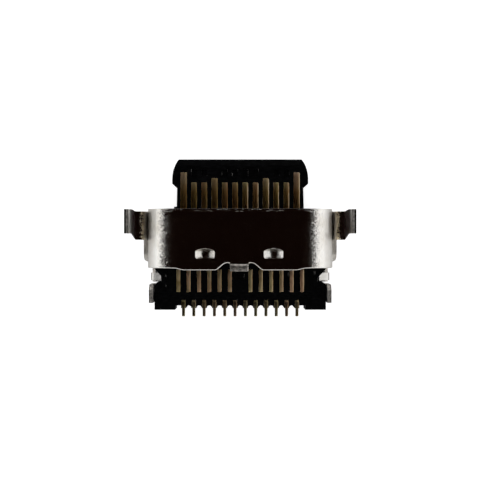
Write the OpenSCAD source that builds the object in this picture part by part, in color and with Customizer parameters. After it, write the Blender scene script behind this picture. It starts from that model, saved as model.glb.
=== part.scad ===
// Charging port for a board cut-out: a short round-ended shell round a bare contact tongue,
// held by a saddle bracket with two wings and four legs, with two rows of solder tails behind.
// The board side faces up and the plug comes in from +Y. The part lies on the flat back of
// its bracket at Z = 0, with its overall box centred on X and Y. All sizes are millimetres.

/* [Shell] */
// Width of the plug opening
cavity_w = 8.34; // [8.1:0.02:8.5]
// Height of the plug opening
cavity_h = 2.56; // [2.4:0.02:2.8]
// Depth of the plug opening behind the front rim
cavity_depth = 1.88; // [1.7:0.02:2]
// Wall of the shell
shell_t = 0.34; // [0.28:0.01:0.4]
// Length of the shell along its sides
shell_l = 2.865; // [2.7:0.005:3.1]
// Reach of the two rear lobes past the sides
lobe_reach = 0.09; // [0.03:0.01:0.2]
// Half-width over the two rear lobes
lobe_x = 3.2; // [2.8:0.02:3.4]
// Rise of the relief cuts beside the stub, from the lobes
relief_h = 0.35; // [0.25:0.01:0.4]
// Half-width over the relief cuts, where the lobes begin
relief_x = 1.1; // [0.9:0.02:1.4]
// Width of the scored stub where the shell was broken from its strip
stub_w = 0.83; // [0.5:0.01:0.9]
// Reach of the stub past the lobes
stub_reach = 0.05; // [0.02:0.01:0.12]
// Width of a lanced dimple
dimple_w = 0.945; // [0.7:0.005:1.2]
// Length of a lanced dimple, up to its shear
dimple_l = 0.49; // [0.35:0.01:0.55]
// Depth of a lanced dimple
dimple_depth = 0.3; // [0.1:0.01:0.34]
// Centre distance of the two dimples
dimple_pitch = 3.28; // [2.4:0.02:4]
// Distance from the dimples' shear to the shell's side edge
dimple_setback = 0.46; // [0.4:0.01:0.55]

/* [Tongue] */
// Width of the tongue
tongue_w = 6.62; // [6.4:0.02:6.9]
// Thickness of the tongue over its contacts
tongue_t = 0.7; // [0.62:0.01:0.8]
// Reach of the tongue past the front rim
tongue_out = 2.42; // [2.2:0.02:3]
// Width of the tongue's tip
tip_w = 6; // [5.8:0.02:6.2]
// Length of the round taper behind the tip
tip_l = 0.95; // [0.7:0.05:1.1]
// Distance from the tip to the latch notches
latch_from_tip = 1.19; // [1.1:0.01:1.4]
// Depth of a latch notch
latch_d = 0.24; // [0.1:0.01:0.3]
// Thickness over the ground plates at the tongue's root
root_t = 1.24; // [1.1:0.02:1.4]
// Length of the thick root in front of the base
root_l = 0.75; // [0.4:0.05:1]

/* [Contacts] */
// Centre distance of neighbouring contacts
pitch = 0.5; // [0.46:0.01:0.53]
// Thickness of the contact strip
contact_t = 0.12; // [0.09:0.01:0.15]
// Width of a signal contact on the tongue
signal_w = 0.27; // [0.2:0.01:0.32]
// Width of a ground or power contact on the tongue
power_w = 0.295; // [0.22:0.005:0.32]
// Distance from the tongue's tip to the ground contacts
ground_from_tip = 0.62; // [0.5:0.01:0.8]
// Distance from the tongue's tip to the power contacts
power_from_tip = 0.91; // [0.8:0.01:1]
// Distance from the tongue's tip to the signal contacts
signal_from_tip = 1.11; // [1:0.01:1.3]
// Width of a solder tail
tail_w = 0.2; // [0.14:0.01:0.24]
// Width of a rear solder tail at its end
tail_end_w = 0.145; // [0.1:0.005:0.2]
// Sideways step of the front solder tails, away from the middle
tail_offset = 0.25; // [0.1:0.01:0.25]
// Reach of the rear solder tails past the housing
tail_out = 0.525; // [0.3:0.005:0.8]
// Thickness of the shield plate between the rows
plate_t = 0.15; // [0.1:0.01:0.2]
// Thickness of a ground plate on the root
ground_t = 0.1; // [0.06:0.01:0.12]

/* [Housing] */
// Width of the rear housing
housing_w = 8.32; // [8.1:0.02:8.5]
// Length of the rear housing behind the shell's sides
housing_l = 1.82; // [1.7:0.01:2.2]
// Height of the board face above the tongue's middle
board_h = 0.63; // [0.55:0.01:0.75]
// Width of the corner feet
foot_w = 1; // [0.8:0.02:1.2]
// Reach of the corner feet past the housing
foot_out = 0.21; // [0.1:0.01:0.3]
// Reach of the plastic webs along the rear tails
web_out = 0.13; // [0.05:0.01:0.2]

/* [Bracket] */
// Sheet thickness of the bracket
sheet_t = 0.2; // [0.15:0.01:0.22]
// Inside radius of the bracket's bends at its legs
bend_r = 0.12; // [0.08:0.01:0.16]
// Inside radius of the shoulders where the wings leave the walls
shoulder_r = 0.3; // [0.2:0.01:0.32]
// Width over the front legs
wing_span = 11.22; // [11.08:0.02:11.8]
// Reach of all legs above the board face
leg_h = 0.3; // [0.2:0.05:1.2]
// Width of a front leg
front_leg_w = 1.18; // [0.9:0.02:1.25]
// Distance from the front rim to the front legs
front_leg_from_rim = 0.015; // [0:0.005:0.1]
// Distance from the front rim to the bracket's front edge
bracket_from_rim = 0.12; // [0.1:0.005:0.3]
// Length of a wing where it leaves the wall
wing_l = 1.38; // [1.2:0.02:1.5]
// Length of the walls beside the shell
wall_l = 2.46; // [2.2:0.005:2.5]
// Width of a rear leg below its slanted front corner
rear_leg_w = 0.875; // [0.7:0.005:0.95]
// Gap between a rear leg and the housing
leg_gap = 0.05; // [0.02:0.01:0.1]
// Height of the low flanks behind the shell
flank_h = 0.8; // [0.6:0.01:0.9]
// Diameter of a weld spot on the back
weld_d = 0.36; // [0.2:0.02:0.5]
// Depth of a weld spot
weld_depth = 0.02; // [0.01:0.005:0.04]

/* [Hidden] */
$fn = 96;
// Contacts in a row, their ground and power places being fixed by the plug
row_count = 12;
POWER = [4, 9];
GROUND = [1, 12];
// Length past a face that a cut runs
past = 0.5;

// Heights: the plug's middle, the shell, the board face and the plastic under the tails
cavity_r = cavity_h / 2;
shell_r = cavity_r + shell_t;
end_x = (cavity_w - cavity_h) / 2;
plug_z = sheet_t + shell_r;
shell_top = plug_z + shell_r;
board_z = plug_z + board_h;
leg_top = board_z + leg_h;
tail_sink = 0.04;
wafer_top = board_z - contact_t + tail_sink;
// Contact faces stand this far out of the tongue's plastic
contact_proud = 0.02;
core_t = tongue_t - 2 * contact_proud;

// Gap that leaves a piece free to slide past its neighbour
slip = 0.02;
// Gaps ahead of the relief cuts, and between the shell's sides and the wide housing
base_gap = 0.01;
neck_gap = 0.035;
// Back wall of the housing, the plastic behind the front tails and the cover of the risers
back_wall = 0.54;
tail_stop = 0.12;
riser_cover = 0.32;
// Set-back of the rear legs, and the slit between them and the low flanks
leg_setback = 0.14;
slit_l = 0.1;
// Lengths along the housing's side notches, and how far into them the tabs begin
notch_lip = 0.01;
notch_slant = 0.43;
notch_flat = 0.18;
tab_lead = 0.21;

// Depths behind the front rim
housing_back = shell_l + housing_l;
y_rim = (housing_back + tail_out - tongue_out) / 2;
lobe_back = shell_l + lobe_reach;
relief_top = lobe_back - relief_h;
relief_r = 0.12;
stub_root = relief_top + relief_r;
stub_back = lobe_back + stub_reach;
dimple_shear = shell_l - dimple_setback;
// The base stops ahead of the relief cuts, and the wafers carry on from it
base_back = relief_top - base_gap;
neck_back = shell_l + neck_gap;
near_wafer_back = housing_back - back_wall;
near_tail_back = near_wafer_back - tail_stop;
riser_front = housing_back - riser_cover;
rear_leg_back = housing_back - leg_setback;
rear_leg_front = rear_leg_back - rear_leg_w;
flank_back = rear_leg_front - slit_l;
// Ends of the slant and the floor of the housing's side notches, and the tabs that lie in them
notch_front = neck_back + notch_lip;
notch_floor = notch_front + notch_slant;
notch_hook = notch_floor + notch_flat;
tab_front = notch_front + tab_lead;

function y_at(depth) = y_rim - depth;
function contact_x(i) = (i - (row_count + 1) / 2) * pitch;
function is_in(i, list) = len([for (j = list) if (j == i) j]) > 0;
function contact_w(i) = is_in(i, GROUND) || is_in(i, POWER) ? power_w : signal_w;
function tip_gap(i) = is_in(i, GROUND) ? ground_from_tip
    : is_in(i, POWER) ? power_from_tip : signal_from_tip;
function tail_x(i) = contact_x(i) + sign(contact_x(i)) * tail_offset;
// S-shaped step from one point to another, level at both ends
function s_step(from, to, n = 12) = [for (k = [0:n]) let (t = k / n)
    [from[0] + (to[0] - from[0]) * t, from[1] + (to[1] - from[1]) * (1 - cos(180 * t)) / 2]];
function mirrored(points) = [for (k = [len(points) - 1:-1:0]) [-points[k][0], points[k][1]]];

// Carries a section drawn in X and Z from one depth back to another
module along_y(front, back) {
    translate([0, y_at(front), 0])
        rotate([90, 0, 0])
            linear_extrude(height = back - front)
                children();
}

// Carries a side view drawn in Y and Z across a width centred on x
module along_x(x, width) {
    translate([x - width / 2, 0, 0])
        rotate([90, 0, 90])
            linear_extrude(height = width)
                children();
}

// Carries a plan up from one height to another
module along_z(low, high) {
    translate([0, 0, low])
        linear_extrude(height = high - low)
            children();
}

module both_sides() {
    children();
    mirror([1, 0, 0])
        children();
}

// Plan rectangle between two depths
module plan_band(half_w, front, back) {
    translate([-half_w, y_at(back)])
        square([2 * half_w, back - front]);
}

// Round-ended section about the plug's middle
module stadium(r) {
    translate([-end_x, plug_z - r])
        square([2 * end_x, 2 * r]);
    for (side = [-1, 1])
        translate([side * end_x, plug_z])
            circle(r);
}

// Quarter of a bent strip: the quadrant is given by the signs sx and sy
module elbow(r, t, sx, sy) {
    intersection() {
        difference() {
            circle(r + t);
            circle(r);
        }
        translate([sx > 0 ? 0 : -(r + t), sy > 0 ? 0 : -(r + t)])
            square(r + t);
    }
}

// Rear edge of the shell's board side, from the middle out to the right
rear_edge = concat(
    [[0, y_at(stub_root)]],
    [for (a = [180:-15:90]) [
        stub_w / 2 + relief_r * (1 + cos(a)),
        y_at(relief_top) - relief_r * (1 - sin(a))
    ]],
    s_step([stub_w / 2 + 2 * relief_r, y_at(relief_top)], [relief_x, y_at(lobe_back)]),
    s_step([lobe_x - 2 * lobe_reach, y_at(lobe_back)], [lobe_x, y_at(shell_l)], 6),
    [[cavity_w, y_at(shell_l)], [cavity_w, y_at(stub_back + past)]]
);

// Lanced dimple grown by a wall: a trough along Y, closed in front by a cone and sheared behind
module dimple(wall) {
    trough_r = (pow(dimple_w / 2, 2) + pow(dimple_depth, 2)) / (2 * dimple_depth);
    front_r = 0.9;
    front_slope = 0.5;
    reach = shell_t + dimple_depth;
    dimple_front = dimple_shear - dimple_l;
    intersection() {
        translate([0, y_at(dimple_shear), shell_top + trough_r - dimple_depth])
            rotate([-90, 0, 0])
                cylinder(h = dimple_l + wall + past, r = trough_r + wall);
        translate([0, y_at(dimple_front + front_r), shell_top - reach])
            cylinder(
                h = 2 * reach,
                r1 = front_r + wall - reach * front_slope,
                r2 = front_r + wall + reach * front_slope
            );
    }
}

// Wall left round a dimple, and its swellings inside, which stay under the shell's outer face
dimple_wall = 0.26;

module dimple_swellings(wall) {
    skin = 0.05;
    for (side = [-1, 1])
        translate([side * dimple_pitch / 2, 0, 0])
            intersection() {
                dimple(wall);
                translate([-dimple_w, y_at(dimple_shear), plug_z])
                    cube([2 * dimple_w, 2 * dimple_l, shell_r - skin]);
            }
}

// Drawn tube with lanced dimples, lobed rear edge and the scored stub of its strip
module front_shell() {
    score_step = 0.06;
    score_drop = 0.14;
    color("silver")
        difference() {
            union() {
                difference() {
                    along_y(0, lobe_back)
                        difference() {
                            stadium(shell_r);
                            stadium(cavity_r);
                        }
                    along_z(0, plug_z)
                        plan_band(cavity_w, shell_l, stub_back + past);
                    along_z(plug_z, shell_top + past)
                        polygon(concat(mirrored(rear_edge), rear_edge));
                }
                dimple_swellings(dimple_wall);
                along_x(0, stub_w)
                    polygon([
                        [y_at(stub_root - relief_r), shell_top - shell_t],
                        [y_at(stub_root - relief_r), shell_top],
                        [y_at(stub_root), shell_top],
                        [y_at(stub_root) - score_step / 2, shell_top - score_step],
                        [y_at(stub_back), shell_top - score_drop],
                        [y_at(stub_back), shell_top - shell_t]
                    ]);
            }
            for (side = [-1, 1])
                translate([side * dimple_pitch / 2, 0, 0])
                    dimple(0);
        }
}

// Section of the bracket in front: back, flank, wall, wing and leg of the right half
wall_x = end_x + shell_r;
leg_x = wing_span / 2 - sheet_t;
shoulder_z = board_z - sheet_t - shoulder_r;
// Angle of the low flanks' ends about the middle of the shell's round
flank_end = asin((flank_h - plug_z) / (shell_r + sheet_t / 2));

module saddle_section() {
    difference() {
        stadium(shell_r + sheet_t);
        stadium(shell_r);
        translate([-cavity_w, plug_z])
            square([2 * cavity_w, cavity_h]);
    }
}

module wing_section() {
    wing_x = wall_x + sheet_t + shoulder_r;
    translate([wall_x, plug_z])
        square([sheet_t, shoulder_z - plug_z]);
    translate([wing_x, shoulder_z])
        elbow(shoulder_r, sheet_t, -1, 1);
    translate([wing_x, board_z - sheet_t])
        square([leg_x - bend_r - wing_x, sheet_t]);
    translate([leg_x - bend_r, board_z + bend_r])
        elbow(bend_r, sheet_t, 1, -1);
    translate([leg_x, board_z + bend_r])
        square([sheet_t, leg_h - bend_r]);
}

// Plan of one wing: a front edge that swings forward to the leg and a cut rear corner
module wing_plan() {
    swing_x = leg_x - bend_r;
    swing_l = 0.24;
    corner_w = 0.21;
    wing_back = bracket_from_rim + wing_l;
    leg_back = front_leg_from_rim + front_leg_w;
    polygon(concat(
        [[wall_x - past, y_at(wing_back)], [wall_x - past, y_at(bracket_from_rim)]],
        s_step([swing_x - swing_l, y_at(bracket_from_rim)], [swing_x, y_at(front_leg_from_rim)]),
        [[wing_span, y_at(front_leg_from_rim)], [wing_span, y_at(leg_back)]],
        [[swing_x, y_at(leg_back)], [swing_x - corner_w, y_at(wing_back)]]
    ));
}

// Side view of a wall behind its wing, whose rear end falls away in a long round
module wall_side() {
    round_l = 0.5;
    round_h = 1;
    wall_back = bracket_from_rim + wall_l;
    polygon(concat(
        [[y_at(wall_back), 0], [y_at(bracket_from_rim), 0], [y_at(bracket_from_rim), shoulder_z]],
        [for (a = [90:-7.5:0]) [
            y_at(wall_back - round_l * (1 - cos(a))),
            shoulder_z - round_h * (1 - sin(a))
        ]]
    ));
}

// Section of the bracket at its rear legs, right half
module rear_leg_section() {
    leg_in = housing_w / 2 + leg_gap;
    square([leg_in - bend_r, sheet_t]);
    translate([leg_in - bend_r, sheet_t + bend_r])
        elbow(bend_r, sheet_t, 1, -1);
    translate([leg_in, sheet_t + bend_r])
        square([sheet_t, leg_top - sheet_t - bend_r]);
}

// Section of the saddle up to the square-cut ends of its low flanks
module flank_section() {
    reach = shell_r + 2 * sheet_t;
    edge_x = end_x + reach * cos(flank_end);
    edge_z = plug_z + reach * sin(flank_end);
    intersection() {
        saddle_section();
        polygon([
            [end_x, plug_z],
            [edge_x, edge_z],
            [edge_x, -past],
            [-edge_x, -past],
            [-edge_x, edge_z],
            [-end_x, plug_z]
        ]);
    }
}

// Side view of a rear leg, whose front corner is cut at a slant
module rear_leg_side() {
    slant_l = 0.265;
    slant_h = 0.4;
    polygon([
        [y_at(rear_leg_back), 0],
        [y_at(rear_leg_front), 0],
        [y_at(rear_leg_front), leg_top - slant_h],
        [y_at(rear_leg_front + slant_l), leg_top],
        [y_at(rear_leg_back), leg_top]
    ]);
}

// Section of a tab, coined thinner than the sheet, which curls up out of a flank's end and leans in
module tab_section() {
    tab_t = sheet_t - 2 * slip;
    curl_r = 0.12;
    buried = 12;
    root = flank_end - buried;
    lean = 60;
    lean_l = 0.64;
    steps = 10;
    curl_mid = shell_r + sheet_t / 2 - curl_r - tab_t / 2;
    inner = [for (k = [0:steps]) let (a = root + (lean - root) * k / steps) curl_r * [cos(a), sin(a)]];
    outer = inner * (curl_r + tab_t) / curl_r;
    far_end = lean_l * [-sin(lean), cos(lean)];
    translate([end_x + curl_mid * cos(flank_end), plug_z + curl_mid * sin(flank_end)])
        polygon(concat(
            outer,
            [outer[steps] + far_end, inner[steps] + far_end],
            [for (k = [steps:-1:0]) inner[k]]
        ));
}

// Folded saddle welded under the shell: flat back, round flanks, walls, wings, tabs and legs
module mount_bracket() {
    neck_out = 0.7;
    neck_x = end_x + neck_out;
    weld_from_end = 0.7;
    weld_share = 0.8;
    color("gainsboro")
        difference() {
            union() {
                intersection() {
                    along_y(bracket_from_rim, bracket_from_rim + wall_l)
                        saddle_section();
                    along_x(0, wing_span)
                        wall_side();
                }
                both_sides()
                    intersection() {
                        along_y(bracket_from_rim, bracket_from_rim + wall_l)
                            translate([wall_x, plug_z])
                                square([sheet_t, shoulder_z - plug_z]);
                        along_x(0, wing_span)
                            wall_side();
                    }
                both_sides()
                    intersection() {
                        along_y(front_leg_from_rim, bracket_from_rim + wing_l)
                            wing_section();
                        along_z(plug_z, leg_top)
                            wing_plan();
                    }
                along_y(bracket_from_rim, flank_back)
                    flank_section();
                along_z(0, sheet_t)
                    plan_band(end_x, bracket_from_rim, rear_leg_back);
                along_z(0, sheet_t)
                    plan_band(neck_x, rear_leg_front, rear_leg_back);
                both_sides()
                    intersection() {
                        along_y(tab_front, notch_hook - slip)
                            tab_section();
                        along_z(0, board_z)
                            translate([2 * slip, 0])
                                side_notch();
                    }
                both_sides()
                    intersection() {
                        along_y(rear_leg_front, rear_leg_back)
                            rear_leg_section();
                        along_x(0, wing_span)
                            rear_leg_side();
                    }
            }
            for (side = [-1, 1], depth = [weld_from_end, shell_l - weld_from_end])
                translate([side * end_x * weld_share, y_at(depth), -past])
                    cylinder(h = past + weld_depth, d = weld_d);
        }
}

// Plan of the tongue with its round tapered tip and the two latch notches
module tongue_plan() {
    half_w = tongue_w / 2;
    inset = half_w - tip_w / 2;
    tip_r = (pow(tip_l, 2) + pow(inset, 2)) / (2 * inset);
    notch_slope = 0.22;
    notch_flare = 0.05;
    latch = latch_from_tip - tongue_out;
    difference() {
        union() {
            plan_band(half_w, tip_l - tongue_out, cavity_depth + slip);
            intersection() {
                plan_band(half_w, -tongue_out, tip_l - tongue_out);
                union() {
                    plan_band(half_w - tip_r, -tongue_out, tip_l - tongue_out);
                    for (side = [-1, 1])
                        translate([side * (half_w - tip_r), y_at(tip_l - tongue_out)])
                            circle(tip_r);
                }
            }
        }
        for (side = [-1, 1])
            polygon([
                [side * (half_w + past), y_at(latch) + past * notch_slope / latch_d],
                [side * (half_w - latch_d), y_at(latch + notch_slope)],
                [side * (half_w - latch_d + notch_flare), y_at(cavity_depth - root_l)],
                [side * (half_w + past), y_at(cavity_depth - root_l)]
            ]);
    }
}

// Side view of the tongue: its tip is chamfered above and below
module tongue_side() {
    chamfer_l = 0.3;
    chamfer_d = 0.14;
    tip = y_at(-tongue_out);
    polygon([
        [y_at(cavity_depth + slip), plug_z - core_t / 2],
        [tip - chamfer_l, plug_z - core_t / 2],
        [tip, plug_z - core_t / 2 + chamfer_d],
        [tip, plug_z + core_t / 2 - chamfer_d],
        [tip - chamfer_l, plug_z + core_t / 2],
        [y_at(cavity_depth + slip), plug_z + core_t / 2]
    ]);
}

// Pockets left in the tongue by the pins that held the signal contacts in the mould
module tip_pockets() {
    pocket_l = 0.33;
    pocket_d = 0.1;
    pocket_gap = 0.3;
    pocket_back = signal_from_tip - tongue_out - pocket_gap;
    for (i = [1:row_count])
        if (!is_in(i, GROUND) && !is_in(i, POWER))
            for (low = [plug_z - core_t / 2 - past, plug_z + core_t / 2 - pocket_d])
                translate([contact_x(i) - signal_w / 2, y_at(pocket_back), low])
                    cube([signal_w, pocket_l, past + pocket_d]);
}

// Insulator moulded round the contacts: the tongue, its thick root and the base in the shell
module tongue_mould() {
    nub_w = 0.16;
    nub_l = 0.12;
    root_inset = 0.15;
    step_t = root_t - 2 * ground_t;
    color("#101012")
        difference() {
            union() {
                intersection() {
                    along_z(plug_z - tongue_t, plug_z + tongue_t)
                        tongue_plan();
                    along_x(0, tongue_w)
                        tongue_side();
                }
                along_z(plug_z - step_t / 2, plug_z + step_t / 2)
                    plan_band(tongue_w / 2 - root_inset, cavity_depth - root_l, cavity_depth + slip);
                along_y(cavity_depth, base_back)
                    stadium(cavity_r);
                along_z(plug_z - core_t / 4, plug_z + core_t / 4)
                    translate([latch_d - tongue_w / 2 - nub_w, y_at(0)])
                        square([nub_w + past, nub_l]);
            }
            tip_pockets();
            dimple_swellings(dimple_wall);
            shield_plate();
            near_ground_plate();
            far_ground_plate();
            for (i = [1:row_count]) {
                near_contact(i);
                far_contact(i);
            }
        }
}

// Section of the rear housing: straight sides that follow the bracket's flanks below
module housing_section(low, high) {
    intersection() {
        stadium(shell_r - slip);
        translate([-housing_w / 2, low])
            square([housing_w, high - low]);
    }
}

// Housing between two heights, narrowed where it lies inside the shell
module housing_block(low, high, back) {
    along_y(neck_back, back)
        housing_section(low, high);
    intersection() {
        along_y(base_back, neck_back)
            stadium(cavity_r - slip);
        along_z(low, high)
            plan_band(housing_w / 2, base_back, neck_back);
    }
}

// Plan of the notch in the housing's right side: a long slant in front, a short hook behind
module side_notch() {
    notch_d = 0.41;
    hook_d = 0.25;
    hook_l = 0.3;
    half_w = housing_w / 2;
    open_x = wall_x + sheet_t + past;
    polygon(concat(
        [[open_x, y_at(notch_front)], [half_w, y_at(notch_front)]],
        [[half_w - notch_d, y_at(notch_floor)], [half_w - notch_d, y_at(notch_hook)]],
        [for (a = [0:15:90]) [
            half_w - hook_d + hook_d * sin(a),
            y_at(notch_hook + hook_l * (1 - cos(a)))
        ]],
        [[open_x, y_at(notch_hook + hook_l)]]
    ));
}

module side_notches() {
    both_sides()
        along_z(0, wafer_top + past)
            side_notch();
}

// Fine ridge along the front strip's right side
module strip_ridge(low) {
    ridge_w = 0.04;
    ridge_h = 0.03;
    ridge_inset = 0.55;
    ridge_lead = 0.07;
    ridge_l = 0.85;
    along_z(low, wafer_top + ridge_h)
        translate([housing_w / 2 - ridge_inset - ridge_w / 2, y_at(neck_back + ridge_lead + ridge_l)])
            square([ridge_w, ridge_l]);
}

// Shallow window that a mould pin left in the front strip
module strip_window(x, width) {
    window_lead = 0.17;
    window_l = 0.34;
    window_d = 0.06;
    along_z(wafer_top - window_d, wafer_top + past)
        translate([x, 0])
            plan_band(width / 2, neck_back + window_lead, neck_back + window_lead + window_l);
}

// Insulator strip that carries the front row of solder tails and covers their roots with a lip
module near_wafer() {
    low = plug_z + plate_t / 2;
    lip_h = 0.05;
    lip_side = 0.2;
    lip_out = 0.04;
    middle_w = 0.38;
    window_gap = 0.07;
    window_x = tail_x(row_count - 1) - pitch / 2;
    color("#141416")
        difference() {
            union() {
                housing_block(low, wafer_top, near_wafer_back);
                along_z(low, board_z + lip_h)
                    plan_band(tail_x(row_count) + lip_side, base_back, neck_back + lip_out);
                both_sides()
                    strip_ridge(low);
            }
            side_notches();
            strip_window(0, middle_w);
            both_sides()
                strip_window(window_x, pitch - tail_w - 2 * window_gap);
            for (i = [1:row_count])
                near_contact(i);
        }
}

// Plan of the housing's rear end: corner feet, and round gaps between the webs of the tails
module rear_gaps() {
    web_side = 0.02;
    gap_w = pitch - tail_w - 2 * web_side;
    last_x = contact_x(row_count) + tail_w / 2 + web_side;
    for (i = [1:row_count - 1])
        translate([contact_x(i) + pitch / 2, y_at(housing_back) - gap_w / 2]) {
            circle(d = gap_w);
            translate([-gap_w / 2, -past])
                square([gap_w, past]);
        }
    both_sides()
        translate([last_x, y_at(housing_back + past)])
            square([housing_w / 2 - foot_w - last_x, past]);
}

// Insulator that carries the rear row of tails, with the housing's back wall and feet
module far_wafer() {
    web_back = housing_back + web_out;
    foot_back = housing_back + foot_out;
    half_w = housing_w / 2;
    color("#121214")
        difference() {
            union() {
                housing_block(sheet_t, plug_z - plate_t / 2, near_wafer_back);
                along_y(near_wafer_back, foot_back)
                    housing_section(sheet_t, wafer_top);
            }
            side_notches();
            along_z(0, wafer_top + past)
                rear_gaps();
            along_z(0, wafer_top + past)
                plan_band(half_w - foot_w, web_back, foot_back + past);
            for (i = [1:row_count])
                far_contact(i);
        }
}

// Stamped shield between the rows, bare at the sides of the latch notches
module shield_plate() {
    latch = latch_from_tip - tongue_out;
    latch_x = tongue_w / 2 - latch_d;
    nose_l = 0.35;
    nose_inset = 0.25;
    bare_setback = 0.24;
    rear_inset = 0.55;
    tie_l = 0.25;
    color("darkgray")
        along_z(plug_z - plate_t / 2, plug_z + plate_t / 2) {
            plan_band(latch_x - nose_inset, latch - nose_l, cavity_depth + tie_l + slip);
            plan_band(latch_x, latch + bare_setback, cavity_depth);
            plan_band(housing_w / 2 - rear_inset, cavity_depth + tie_l, near_wafer_back);
        }
}

// Ground plate on one face of the tongue's root, let into the base
module ground_plate(low) {
    inset = 0.2;
    let_in = 0.15;
    along_z(low, low + ground_t)
        plan_band(tongue_w / 2 - inset, cavity_depth - root_l, cavity_depth + let_in);
}

module near_ground_plate() {
    color("lightgray")
        ground_plate(plug_z + root_t / 2 - ground_t);
}

module far_ground_plate() {
    color("lightgray")
        ground_plate(plug_z - root_t / 2);
}

// Contact of the board-side row: it steps up and outwards in the base to its solder tail
module near_contact(i) {
    x = contact_x(i);
    x_tail = tail_x(i);
    half_w = contact_w(i) / 2;
    half_tail = tail_w / 2;
    tip = tip_gap(i) - tongue_out;
    step_inset = 0.11;
    step_front = cavity_depth + step_inset;
    step_back = base_back - step_inset;
    face = plug_z + tongue_t / 2;
    color("#a08050")
        intersection() {
            along_z(plug_z, board_z + past)
                polygon([
                    [x - half_w, y_at(tip)],
                    [x + half_w, y_at(tip)],
                    [x + half_w, y_at(step_front)],
                    [x_tail + half_tail, y_at(step_back)],
                    [x_tail + half_tail, y_at(near_tail_back)],
                    [x_tail - half_tail, y_at(near_tail_back)],
                    [x_tail - half_tail, y_at(step_back)],
                    [x - half_w, y_at(step_front)]
                ]);
            along_x(x, 4 * pitch)
                polygon([
                    [y_at(tip), face - contact_t],
                    [y_at(tip), face - contact_t / 3],
                    [y_at(tip + contact_t), face],
                    [y_at(step_front), face],
                    [y_at(step_back), board_z],
                    [y_at(near_tail_back), board_z],
                    [y_at(near_tail_back), board_z - contact_t],
                    [y_at(step_back), board_z - contact_t],
                    [y_at(step_front), face - contact_t]
                ]);
        }
}

// Contact of the other row: it runs straight back, rises in the housing and turns out as a tail
module far_contact(i) {
    x = contact_x(i);
    half_w = contact_w(i) / 2;
    half_tail = tail_w / 2;
    tip = tip_gap(i) - tongue_out;
    tail_end = housing_back + tail_out;
    turn_r = 0.1;
    y_riser = y_at(riser_front);
    face = plug_z - tongue_t / 2;
    color("#a08050")
        intersection() {
            along_z(face - past, board_z + past)
                polygon([
                    [x - half_w, y_at(tip)],
                    [x + half_w, y_at(tip)],
                    [x + half_w, y_at(cavity_depth)],
                    [x + half_tail, y_at(base_back)],
                    [x + half_tail, y_at(housing_back)],
                    [x + tail_end_w / 2, y_at(tail_end)],
                    [x - tail_end_w / 2, y_at(tail_end)],
                    [x - half_tail, y_at(housing_back)],
                    [x - half_tail, y_at(base_back)],
                    [x - half_w, y_at(cavity_depth)]
                ]);
            along_x(x, 2 * pitch) {
                translate([y_riser + turn_r, face])
                    square([y_at(tip) - y_riser - turn_r, contact_t]);
                translate([y_riser + turn_r, face + contact_t + turn_r])
                    elbow(turn_r, contact_t, -1, -1);
                translate([y_riser - contact_t, face + contact_t + turn_r])
                    square([contact_t, board_z - face - 2 * (contact_t + turn_r)]);
                translate([y_riser - contact_t - turn_r, board_z - contact_t - turn_r])
                    elbow(turn_r, contact_t, 1, 1);
                translate([y_at(tail_end), board_z - contact_t])
                    square([y_riser - contact_t - turn_r - y_at(tail_end), contact_t]);
            }
        }
}

front_shell();
mount_bracket();
tongue_mould();
near_wafer();
far_wafer();
shield_plate();
near_ground_plate();
far_ground_plate();
for (i = [1:row_count]) {
    near_contact(i);
    far_contact(i);
}
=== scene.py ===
"""Finishes and fine surfaces of the charging port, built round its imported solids. Lengths are metres."""

import bmesh
import bpy
import numpy as np
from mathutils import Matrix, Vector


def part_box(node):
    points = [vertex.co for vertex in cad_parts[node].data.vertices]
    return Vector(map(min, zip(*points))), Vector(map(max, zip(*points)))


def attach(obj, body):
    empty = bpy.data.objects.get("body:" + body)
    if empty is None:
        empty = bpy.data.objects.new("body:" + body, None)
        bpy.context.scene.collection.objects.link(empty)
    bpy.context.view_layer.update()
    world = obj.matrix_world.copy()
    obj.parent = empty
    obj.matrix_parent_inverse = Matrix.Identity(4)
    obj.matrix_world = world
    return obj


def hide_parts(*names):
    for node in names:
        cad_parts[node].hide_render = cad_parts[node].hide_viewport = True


bl_info = {
    "name": "Charging port",
    "version": (1, 0, 0),
    "blender": (4, 5, 0),
    "location": "View3D > Sidebar > Port",
    "description": "Builds the shell, bracket, contacts and finishes of a board-mounted charging port",
    "category": "Object",
}

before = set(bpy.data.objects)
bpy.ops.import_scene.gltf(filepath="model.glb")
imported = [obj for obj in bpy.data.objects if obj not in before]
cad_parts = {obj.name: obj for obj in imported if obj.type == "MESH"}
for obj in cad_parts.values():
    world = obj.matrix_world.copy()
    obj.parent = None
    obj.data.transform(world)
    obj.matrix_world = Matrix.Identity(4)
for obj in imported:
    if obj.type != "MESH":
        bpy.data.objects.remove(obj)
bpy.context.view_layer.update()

MM = 0.001
BODY = "root"
ROW = range(1, 13)
ROW_MIDDLE = 6.5
GROUND_PLACES = (1, 12)
POWER_PLACES = (4, 9)
MIRROR = np.array([-1, 1, 1])
HAIR = 0.002 * MM

# The shell's own box gives the plug's middle, the round ends and the plane of the front rim.
shell_low, shell_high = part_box("front_shell")
RIM_Y = shell_high.y
PLUG_Z = (shell_low.z + shell_high.z) / 2
SHELL_R = (shell_high.z - shell_low.z) / 2
END_X = shell_high.x - SHELL_R
STUB_BACK = RIM_Y - shell_low.y

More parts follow.
